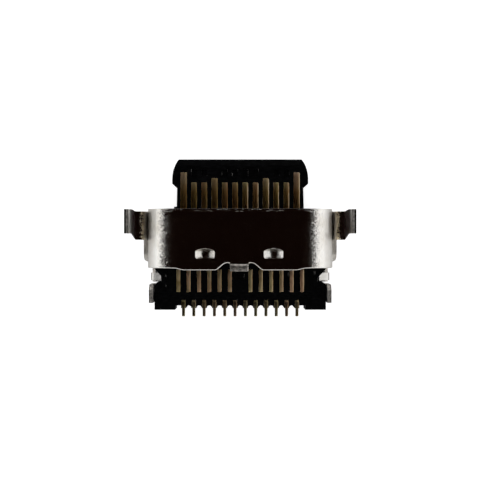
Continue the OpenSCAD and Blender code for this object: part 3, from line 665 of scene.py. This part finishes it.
def shell_surface(sizes):
    """Closed wall of the shell. Each column of the stadium carries one loop of depth and fall from the outer
    face: front to rear along the outside, round the rear edge, back along the inside and round the front
    rim. The dimples, the scored stub and the rear outline change the fall and the depth. The last array
    numbers each quad's finish: plated, broken or drawn."""
    foot, out_x, out_z = shell_columns()
    x = foot + SHELL_R * out_x
    board_side = out_z > 0
    end = np.where(board_side, rear_edge(x), SHELL_L)
    stub = board_side & (x < STUB_HALF - HAIR / 2)
    slope = np.clip((rear_edge(x + HAIR) - rear_edge(x - HAIR)) / (2 * HAIR), -1, 1) * board_side
    rear = np.where(stub, STUB_EDGE_R, sizes.rear_round * (1 + slope**2))
    front = sizes.rim_round
    along = foot + SHELL_R * np.arctan2(out_x, out_z)

    def fall(depth):
        """Fall of the outer face at a depth: trim mark, dimple, scored stub and its rounded sides."""
        drop = np.where(board_side, np.maximum(dimple_drop(x, depth, sizes, 0), 0), 0)
        trim = trim_marks(along, depth, sizes.trim_step)
        past = depth - STUB_ROOT
        score = np.interp(past, SCORE_LENGTHS, SCORE_FALLS)
        over = np.clip(x - (STUB_HALF - STUB_SIDE_R), 0, STUB_SIDE_R)
        side = STUB_SIDE_R - np.sqrt(STUB_SIDE_R**2 - over**2)
        broken = np.clip((past - SCORE_LENGTHS[1]) / SCORE_LENGTHS[1], 0, 1)
        return drop + trim + np.where(stub & (past > 0), score + side * broken, 0)

    trimmed = TRIM_DEPTHS[1] + TRIM_REACH + sizes.trim_step
    lanced = DIMPLE_SHEAR - sizes.dimple_length - DIMPLE_LEAD
    knots = [np.full(len(x), v) for v in (front, trimmed, lanced, DIMPLE_SHEAR - HAIR, DIMPLE_SHEAR + HAIR)]
    for past, step in zip(SCORE_LENGTHS, REAR_STEPS):
        knots.append(np.where(stub, STUB_ROOT + past, end - rear - step))
    knots.append(end - rear)
    runs = [a + (b - a) * (np.arange(n) / n)[:, None] for a, b, n in zip(knots, knots[1:], SHELL_ROWS)]
    outer = np.concatenate(runs + [knots[-1:]])
    outer_fall = np.stack([fall(row) for row in outer])
    inside = outer[::-1][1:]
    swelling = np.where(board_side, dimple_drop(x, inside, sizes, DIMPLE_WALL), 0)
    quarter = np.radians(np.linspace(0, 90, 8))[1:, None]
    level = np.zeros(len(x))
    depth = np.concatenate([
        outer,
        end - rear + rear * np.sin(quarter),
        end - HEEL_R + HEEL_R * np.cos(quarter),
        inside,
        front * (1 - np.sin(quarter)) + level,
        front * (1 - np.cos(quarter[:-1])) + level,
    ])
    drop = np.concatenate([
        outer_fall,
        outer_fall[-1] + rear * (1 - np.cos(quarter)),
        sizes.wall - HEEL_R + HEEL_R * np.sin(quarter) + level,
        np.maximum(sizes.wall, swelling),
        sizes.wall - front * (1 - np.cos(quarter)) + level,
        outer_fall[0] + front * (1 - np.sin(quarter[:-1])),
    ])
    radius = SHELL_R - drop
    half = np.stack([foot + radius * out_x, RIM_Y - depth, PLUG_Z + radius * out_z], -1)
    points = np.concatenate([half, half[:, -2:0:-1] * MIRROR], 1)
    flat = np.clip((END_X - np.abs(points[..., 0])) / PATTERN_FADE, 0, 1) * (points[..., 2] > PLUG_Z)
    points[..., 0] += PATTERN_SHIFT * flat
    edge = len(outer) + len(quarter)
    heel = edge + len(quarter)
    finish = np.zeros(points.shape[:2], int)
    finish[len(outer) - sum(SHELL_ROWS[-3:]) - 1:heel] = 1
    finish[:, ~np.concatenate([stub, stub[-2:0:-1]])] = 0
    finish[edge:heel] = 1
    sunk = board_side & (dimple_drop(x, outer, sizes, 0) > 0)
    finish[:len(outer)] += 2 * np.concatenate([sunk, sunk[:, -2:0:-1]], 1)
    return points, grid_faces(*points.shape[:2], True, True), finish.ravel()


def fine_stations(start, end, marks, reach, coarse):
    """Stations from start to end at coarse steps, closer together within reach of each mark."""
    fine = [mark + np.linspace(-reach, reach, FINE_STEPS) for mark in marks]
    plain = np.linspace(start, end, coarse)
    keep = np.all([np.abs(plain - mark) > reach * FINE_MARGIN for mark in marks], axis=0)
    keep[[0, -1]] = True
    every = np.concatenate([plain[keep]] + fine)
    return np.unique(every[(every >= start) & (every <= end)])


def bracket_sheet(sizes):
    """Middle surface of the folded bracket, right half: patches whose columns follow the fold's path in X
    and Z and whose rows run between two depths. The flat back sinks in at the weld spots."""
    mid = sizes.sheet / 2
    flank_r = SHELL_R + mid
    bend = BEND_R + mid
    wall_x = END_X + flank_r
    shoulder_z = BOARD_Z - sizes.sheet - SHOULDER_R
    wing_x = wall_x + mid + SHOULDER_R
    swing_x = LEG_OUT - sizes.sheet - BEND_R
    cut = np.degrees(np.arcsin((FLANK_H - PLUG_Z) / flank_r))
    points, faces = [], []

    def patch(path, front, back, rows):
        """Rows of a patch between its front and back depths, which may change along the path."""
        t = (np.asarray(rows) if np.ndim(rows) else np.linspace(0, 1, rows))[:, None]
        depth = front + (back - front) * t + np.zeros(len(path))
        across, height = (np.broadcast_to(v, depth.shape) for v in path.T)
        faces.append(grid_faces(*depth.shape) + sum(map(len, points)))
        points.append(np.stack([across, RIM_Y - depth, height], -1).reshape(-1, 3))

    def wall_end(path):
        """Depth where the wall ends along a path: a quarter ellipse, upright below and level on top."""
        over = np.clip((path[:, 1] - shoulder_z) / WALL_ROUND_H + 1, 0, 1)
        return WALL_BACK - WALL_ROUND_L * (1 - np.sqrt(1 - over**2))

    reach = WELD_REACH * sizes.weld_width
    columns = fine_stations(0, END_X, [WELD_X], reach, 12)
    depths = fine_stations(BRACKET_FRONT, WALL_BACK, WELD_DEPTHS, reach, 26)
    depths = np.unique(np.append(depths, WING_BACK))
    third = np.concatenate([
        np.linspace(WALL_BACK, TAB_FRONT, 5), np.linspace(TAB_FRONT, TAB_BACK, 7)[1:], [FLANK_BACK]
    ])
    runs = (depths[depths <= WING_BACK], depths[depths >= WING_BACK], third)
    rows_a, rows_b, rows_c = ((run - run[0]) / (run[-1] - run[0]) for run in runs)
    flat = np.stack([columns, np.full(len(columns), mid)], 1)
    low = arc((END_X, PLUG_Z), flank_r, -90, cut, 15)
    high = arc((END_X, PLUG_Z), flank_r, cut, 0, 25)
    rise = np.linspace(np.arcsin((PLUG_Z - shoulder_z) / WALL_ROUND_H + 1), np.pi / 2, 15)
    wall = np.stack([np.full(15, wall_x), shoulder_z - WALL_ROUND_H * (1 - np.sin(rise))], 1)
    for path in (flat, low, high, wall):
        patch(path, BRACKET_FRONT, WING_BACK, rows_a)
    for path in (flat, low):
        patch(path, WING_BACK, WALL_BACK, rows_b)
        patch(path, WALL_BACK, FLANK_BACK, rows_c)
    for path in (high, wall):
        patch(path, WING_BACK, wall_end(path), rows_b)
    patch(flat, FLANK_BACK, REAR_LEG_FRONT, 4)
    patch(flat, REAR_LEG_FRONT, REAR_LEG_BACK, 6)
    wing = joined(
        arc((wing_x, shoulder_z), SHOULDER_R + mid, 180, 90, 19),
        np.linspace((wing_x, BOARD_Z - mid), (swing_x, BOARD_Z - mid), 15),
        arc((swing_x, BOARD_Z + BEND_R), bend, -90, 0, 13),
        np.linspace((swing_x + bend, BOARD_Z + BEND_R), (swing_x + bend, LEG_TOP), 9),
    )
    t = np.clip((wing[:, 0] - (swing_x - SWING_L)) / SWING_L, 0, 1)
    wing_front = BRACKET_FRONT + (LEG_FRONT - BRACKET_FRONT) * half_wave(t)
    t = np.clip((wing[:, 0] - (swing_x - CORNER_W)) / CORNER_W, 0, 1)
    wing_end = WING_BACK + (LEG_BACK - WING_BACK) * t
    patch(wing, wing_front, wing_end, rows_a)
    bend_x = REAR_LEG_IN - BEND_R
    leg_x = bend_x + bend
    leg = joined(
        np.linspace((END_X, mid), (bend_x, mid), 8),
        arc((bend_x, sizes.sheet + BEND_R), bend, -90, 0, 13),
        np.linspace((leg_x, sizes.sheet + BEND_R), (leg_x, LEG_TOP - SLANT_H), 14),
        np.linspace((leg_x, LEG_TOP - SLANT_H), (leg_x, LEG_TOP), 7),
    )
    leg_front = REAR_LEG_FRONT + SLANT_L * np.clip((leg[:, 1] - LEG_TOP) / SLANT_H + 1, 0, 1)
    patch(leg, leg_front, REAR_LEG_BACK, 6)
    curl = arc((END_X, PLUG_Z), flank_r - TAB_CURL, cut, cut, 1)[0]
    curled = arc(curl, TAB_CURL, cut, TAB_LEAN, 13)
    lean = np.radians(TAB_LEAN)
    tab_end = curled[-1] + TAB_L * np.array([-np.sin(lean), np.cos(lean)])
    tab = joined(curled, np.linspace(curled[-1], tab_end, 9))
    notch = NOTCH_FRONT + (NOTCH_X - tab[:, 0]) * NOTCH_SLANT
    patch(tab, np.maximum(TAB_FRONT, notch), TAB_BACK, 7)
    points, faces = np.concatenate(points), np.concatenate(faces)
    for depth in WELD_DEPTHS:
        span = np.hypot(points[:, 0] - WELD_X, points[:, 1] - (RIM_Y - depth)) / (sizes.weld_width / 2)
        sunk = np.clip((1 - span) / WELD_FADE + 0.5, 0, 1) * (points[:, 2] < sizes.sheet)
        points[:, 2] += sizes.weld_depth * sunk * sunk * (3 - 2 * sunk)
    both = np.concatenate([points, points * MIRROR])
    return both, np.concatenate([faces, faces[:, ::-1] + len(points)])


def ribbon(depth, height, across, half, swell, thick, coined, burr):
    """Rounded bar carried along a path in the side plane: at each station a rectangle of its half width and
    thickness, square to the path and shrunk by swell at the two ends, with a flat coined edge on its upper
    right and corners of the burr's radius elsewhere."""
    path = np.stack([RIM_Y - depth, height], 1)
    along = np.gradient(path, axis=0)
    along /= np.linalg.norm(along, axis=1)[:, None]
    t = np.linspace(0, 1, CORNER_STEPS)
    a = np.concatenate([np.pi / 2 * (t + k) for k in range(1, 4)])
    side = np.repeat([1, -1, -1, 1], CORNER_STEPS)
    up = np.repeat([1, 1, -1, -1], CORNER_STEPS)
    wide = np.repeat([coined, burr, burr, burr], CORNER_STEPS)
    tall = np.repeat([coined * COIN_SLOPE, burr, burr, burr], CORNER_STEPS)
    reach = side * (half[:, None] - wide) + wide * np.concatenate([1 - t, np.cos(a)])
    rise = (up * (thick / 2 - tall) + tall * np.concatenate([t, np.sin(a)])) * swell[:, None]
    points = np.stack([
        across[:, None] + reach * (END_WIDTH + (1 - END_WIDTH) * swell[:, None]),
        path[:, 0, None] + along[:, 1, None] * rise,
        path[:, 1, None] - along[:, 0, None] * rise,
    ], -1)
    count = points.shape[1]
    faces = grid_faces(points.shape[0], count, False, True)
    total = points.shape[0] * count
    caps = [list(range(count))[::-1], list(range(total - count, total))]
    return points, faces, caps


def contact_plan(i):
    """Place across, depth of the tip and half width of the contact at a place in the row."""
    kind = "ground" if i in GROUND_PLACES else "power" if i in POWER_PLACES else "signal"
    half = SIGNAL_HALF if kind == "signal" else POWER_HALF
    return (i - ROW_MIDDLE) * PITCH, TIP_GAPS[kind] - TONGUE_OUT, half


def end_swell(count):
    """Share of a strip's thickness at each of its stations, drawn in at both ends."""
    swell = np.ones(count)
    swell[:3] = swell[:-4:-1] = TIP_SWELL
    return swell


def near_contact(i, thick):
    """Path of a board-side contact: level along the tongue, then up and outwards to its solder tail."""
    x, tip, half = contact_plan(i)
    face = PLUG_Z + TONGUE_HALF_T
    depth = np.concatenate([
        tip + TIP_STEPS,
        np.linspace(tip + TIP_L, STEP_FRONT, 12),
        np.linspace(STEP_FRONT, STEP_BACK, 7)[1:],
        np.linspace(STEP_BACK, NEAR_TAIL_BACK - TAIL_EASE, 12)[1:],
        NEAR_TAIL_BACK - TIP_STEPS[2::-1],
    ])
    share = np.clip((depth - STEP_FRONT) / (STEP_BACK - STEP_FRONT), 0, 1)
    dip = np.clip(1 - (depth - tip) / TIP_DIP_L, 0, 1)
    height = face + (BOARD_Z - face) * share - thick / 2 - TIP_DIP * dip * dip
    across = x + np.sign(x) * TAIL_OFFSET * share
    return depth, height, across, half + (TAIL_HALF - half) * share, end_swell(len(depth))


def far_contact(i, thick):
    """Path of a contact of the other row: straight back, up through the housing and out as a rear tail."""
    x, tip, half = contact_plan(i)
    low = PLUG_Z - TONGUE_HALF_T + thick / 2
    top = BOARD_Z - thick / 2
    bend = TURN_R + thick / 2
    turn, riser, over = RISER_FRONT - TURN_R, RISER_FRONT + thick / 2, RISER_FRONT + thick + TURN_R
    path = joined(
        np.stack([tip + TIP_STEPS, np.full(len(TIP_STEPS), low)], 1),
        np.linspace((tip + TIP_STEPS[-1], low), (turn, low), 16),
        arc((turn, low + bend), bend, -90, 0, 7),
        np.linspace((riser, low + bend), (riser, top - bend), 5),
        arc((over, top - bend), bend, 180, 90, 9),
        np.linspace((over, top), (TAIL_END - TAIL_EASE, top), 12),
        np.linspace((TAIL_END - TAIL_EASE, top), (TAIL_END, top), 4),
    )
    depth = path[:, 0]
    stations = [CAVITY_DEPTH, BASE_BACK, HOUSING_BACK, HOUSING_BACK + TAIL_TAPER]
    narrow = np.interp(depth, stations, [half, TAIL_HALF, TAIL_HALF, TAIL_END_HALF])
    return depth, path[:, 1], np.full(len(depth), x), narrow, end_swell(len(depth))


def refinish(names, finish):
    """Gives CAD nodes that keep their own solids a finish."""
    for name in names:
        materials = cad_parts[name].data.materials
        materials.clear()
        materials.append(finish)


class PORT_OT_shell(bpy.types.Operator):
    """Builds the drawn shell with its dimples, lobes and stub"""

    bl_idname = "port.shell"
    bl_label = "Shell"

    def execute(self, context):
        sizes, finishes = context.scene.port_sizes, context.scene.port_finishes
        points, faces, kinds = shell_surface(sizes)
        finish = plated_nickel("shell_nickel_finish", finishes, SHELL_GRAIN, SHELL_DULL, lift=SHELL_LIFT)
        shell = put_piece(
            "shell_surface", points, faces, [], "front_shell", "shell_nickel", finish, SHELL_CREASE
        )
        shell.data.materials.append(sheared_metal("broken_edge_finish", finishes))
        drawn = plated_nickel("drawn_nickel_finish", finishes, DIMPLE_GRAIN, DIMPLE_DULL)
        shell.data.materials.append(drawn)
        shell.data.polygons.foreach_set("material_index", kinds)
        return {"FINISHED"}


class PORT_OT_bracket(bpy.types.Operator):
    """Builds the folded bracket from its middle surface"""

    bl_idname = "port.bracket"
    bl_label = "Bracket"

    def execute(self, context):
        sizes, finishes = context.scene.port_sizes, context.scene.port_finishes
        points, faces = bracket_sheet(sizes)
        mesh = bpy.data.meshes.new("bracket_surface")
        mesh.from_pydata(points.tolist(), [], faces.tolist())
        work = bmesh.new()
        work.from_mesh(mesh)
        bmesh.ops.remove_doubles(work, verts=work.verts, dist=HAIR / 10)
        bmesh.ops.recalc_face_normals(work, faces=work.faces)
        work.to_mesh(mesh)
        work.free()
        mesh.shade_smooth()
        finish = plated_nickel("bracket_nickel_finish", finishes, BRACKET_GRAIN, BRACKET_DULL, BRACKET_PEEL)
        piece = dress("bracket_surface", mesh, "mount_bracket", finish)
        mesh.materials.append(sheared_metal("sheared_edge_finish", finishes, SHEAR_PAINTED_SHADE, SHEAR_PALE))
        wall = piece.modifiers.new("wall", "SOLIDIFY")
        wall.thickness, wall.offset, wall.use_even_offset = sizes.sheet, 0, True
        wall.material_offset_rim = 1
        edges = piece.modifiers.new("edges", "BEVEL")
        edges.width, edges.segments, edges.limit_method = sizes.sheet_round, 3, "ANGLE"
        edges.angle_limit = SHARP
        edges.harden_normals = True
        return {"FINISHED"}


class PORT_OT_contacts(bpy.types.Operator):
    """Builds the two rows of contacts with their solder tails"""

    bl_idname = "port.contacts"
    bl_label = "Contacts"

    def execute(self, context):
        sizes, finishes = context.scene.port_sizes, context.scene.port_finishes
        # The second finish paints a highlight on the coined right edges.
        finish, rubbed = plated_gold(finishes), highlight_gold(finishes)
        for row, path in (("near", near_contact), ("far", far_contact)):
            for i in ROW:
                bright = row == "near" and i > BRIGHT_AFTER
                coined = sizes.contact_coin if bright else sizes.contact_burr
                bar = ribbon(*path(i, sizes.contact), sizes.contact, coined, sizes.contact_burr)
                name = f"{row}_contact_{i}"
                strip = put_piece(f"{name}_strip", *bar, name, "contact_gold", finish, SHARP)
                strip.data.materials.append(rubbed)
                # The coined faces of the right-hand contacts take the painted highlight.
                edge = np.zeros(len(strip.data.polygons), int)
                edge[:len(bar[1])].reshape(-1, bar[0].shape[1])[:, :CORNER_STEPS - 1] = bright
                strip.data.polygons.foreach_set("material_index", edge)
        return {"FINISHED"}


class PORT_OT_insulators(bpy.types.Operator):
    """Gives the black mouldings their finish"""

    bl_idname = "port.insulators"
    bl_label = "Insulators"

    def execute(self, context):
        finish = black_moulding(context.scene.port_finishes)
        refinish(("tongue_mould", "near_wafer", "far_wafer"), finish)
        return {"FINISHED"}


class PORT_OT_plates(bpy.types.Operator):
    """Gives the shield and ground plates their finish"""

    bl_idname = "port.plates"
    bl_label = "Plates"

    def execute(self, context):
        finish = stamped_steel(context.scene.port_finishes)
        refinish(("shield_plate", "near_ground_plate", "far_ground_plate"), finish)
        return {"FINISHED"}


def stage_disc(name, centre, radius, material):
    """Flat round card or floor about a centre: a ring grid of radius by angle, with its middle closed."""
    a = np.linspace(0, 2 * np.pi, DISC_SIDES, endpoint=False)
    r = radius * DISC_RINGS[:, None]
    points = np.stack([r * np.cos(a), r * np.sin(a), 0 * r * a], -1) + np.array(centre)
    faces = grid_faces(len(r), DISC_SIDES, False, True)[:, ::-1].tolist() + [list(range(DISC_SIDES))]
    mesh = bpy.data.meshes.new(name)
    mesh.from_pydata(points.reshape(-1, 3).tolist(), [], faces)
    mesh.materials.append(material)
    disc = bpy.data.objects.new(name, mesh)
    bpy.context.scene.collection.objects.link(disc)
    return disc


def seen_white(tree):
    """One where a ray comes from the camera, a mirror or a glass, which then show a white background."""
    path = add_node(tree, "ShaderNodeLightPath")
    either = maths("MAXIMUM", path.outputs["Is Camera Ray"], path.outputs["Is Glossy Ray"])
    return maths("MAXIMUM", either, path.outputs["Is Transmission Ray"])


def floor_finish(stage):
    """White floor: a matt part that keeps the shadow, an even white part for the camera, and for mirrors a
    white that falls off into the shade round the port, by a power of the distance from its outline."""
    material = bpy.data.materials.new("floor_finish")
    material.use_nodes = True
    tree = material.node_tree
    tree.nodes.remove(tree.nodes["Principled BSDF"])
    path = add_node(tree, "ShaderNodeLightPath")
    matt = add_node(tree, "ShaderNodeBsdfDiffuse", {"Color": (*stage.floor, 1)})
    share = maths("MULTIPLY", seen_white(tree), FLOOR_WHITE)
    white = add_node(tree, "ShaderNodeEmission", {"Strength": share})
    seen = add_node(tree, "ShaderNodeAddShader", {0: matt.outputs[0], 1: white.outputs[0]})
    place = add_node(tree, "ShaderNodeTexCoord").outputs["Object"]
    past = vector("SUBTRACT", vector("ABSOLUTE", place), (SHELL_R + END_X, PORT_HALF_L, 0))
    past = vector("MAXIMUM", past, (0, 0, 0))
    apart = remap(vector("LENGTH", past, output="Value"), 0, stage.shade_reach, 0, 1)
    apart = maths("POWER", apart, SHADE_POWER)
    shade = add_node(tree, "ShaderNodeEmission", {"Strength": maths("MAXIMUM", apart, SHADE_LEAST)})
    mirrored = {0: path.outputs["Is Glossy Ray"], 1: seen.outputs[0], 2: shade.outputs[0]}
    both = add_node(tree, "ShaderNodeMixShader", mirrored)
    tree.links.new(both.outputs[0], tree.nodes["Material Output"].inputs["Surface"])
    return material


def card_finish():
    """Matt card, a very dark brown."""
    material = bpy.data.materials.new("card_finish")
    material.use_nodes = True
    shader = material.node_tree.nodes["Principled BSDF"]
    shader.inputs["Base Color"].default_value = CARD
    shader.inputs["Roughness"].default_value = 1
    shader.inputs["Specular IOR Level"].default_value = 0
    return material


class PORT_OT_stage(bpy.types.Operator):
    """Sets the floor, the dark card over the port, the light and the camera"""

    bl_idname = "port.stage"
    bl_label = "Stage"

    def execute(self, context):
        scene, stage = context.scene, context.scene.port_stage
        stage_disc("floor", (0, 0, FLOOR_Z), FLOOR_R, floor_finish(stage))
        reach = stage.flag_height * np.tan(stage.flag_angle)
        card = stage_disc("overhead_card", (-stage.flag_shift, 0, stage.flag_height), reach, card_finish())
        card.visible_camera = card.visible_diffuse = card.visible_shadow = False
        world = bpy.data.worlds.new("studio")
        world.use_nodes = True
        tree = world.node_tree
        soft = tree.nodes["Background"]
        soft.inputs["Color"].default_value = WHITE
        soft.inputs["Strength"].default_value = SOFT_LIGHT
        white = add_node(tree, "ShaderNodeBackground", {"Color": WHITE, "Strength": 1.0})
        sides = {0: seen_white(tree), 1: soft.outputs[0], 2: white.outputs[0]}
        both = add_node(tree, "ShaderNodeMixShader", sides)
        tree.links.new(both.outputs[0], tree.nodes["World Output"].inputs["Surface"])
        scene.world = world
        data = bpy.data.cameras.new("camera")
        data.sensor_fit = "HORIZONTAL"
        data.angle = 2 * np.arctan(stage.view_width / 2 / stage.camera_height)
        data.clip_start, data.clip_end = 0.002, 10
        camera = bpy.data.objects.new("camera", data)
        camera.location = (*CAMERA_XY, PLUG_Z + TONGUE_HALF_T + stage.camera_height)
        scene.collection.objects.link(camera)
        scene.camera = camera
        scene.view_settings.view_transform = "Standard"
        return {"FINISHED"}


class PORT_PT_panel(bpy.types.Panel):
    """Lists the port's pieces and the values that shape them"""

    bl_idname = "PORT_PT_panel"
    bl_label = "Charging port"
    bl_space_type = "VIEW_3D"
    bl_region_type = "UI"
    bl_category = "Port"

    def draw(self, context):
        for operator in OPERATORS:
            self.layout.operator(operator.bl_idname)
        for group in (context.scene.port_sizes, context.scene.port_finishes, context.scene.port_stage):
            box = self.layout.box()
            for name in group.__annotations__:
                box.prop(group, name)


OPERATORS = (
    PORT_OT_shell, PORT_OT_bracket, PORT_OT_contacts, PORT_OT_insulators, PORT_OT_plates, PORT_OT_stage,
)
CLASSES = (PortSizes, PortFinishes, PortStage, *OPERATORS, PORT_PT_panel)


def register():
    for made in CLASSES:
        bpy.utils.register_class(made)
    bpy.types.Scene.port_sizes = bpy.props.PointerProperty(type=PortSizes)
    bpy.types.Scene.port_finishes = bpy.props.PointerProperty(type=PortFinishes)
    bpy.types.Scene.port_stage = bpy.props.PointerProperty(type=PortStage)


def unregister():
    del bpy.types.Scene.port_stage
    del bpy.types.Scene.port_finishes
    del bpy.types.Scene.port_sizes
    for made in reversed(CLASSES):
        bpy.utils.unregister_class(made)


def main():
    """Builds every piece and the stage in order."""
    register()
    bpy.ops.port.shell()
    bpy.ops.port.bracket()
    bpy.ops.port.contacts()
    bpy.ops.port.insulators()
    bpy.ops.port.plates()
    bpy.ops.port.stage()
    bpy.context.view_layer.update()


if __name__ == "__main__":
    main()
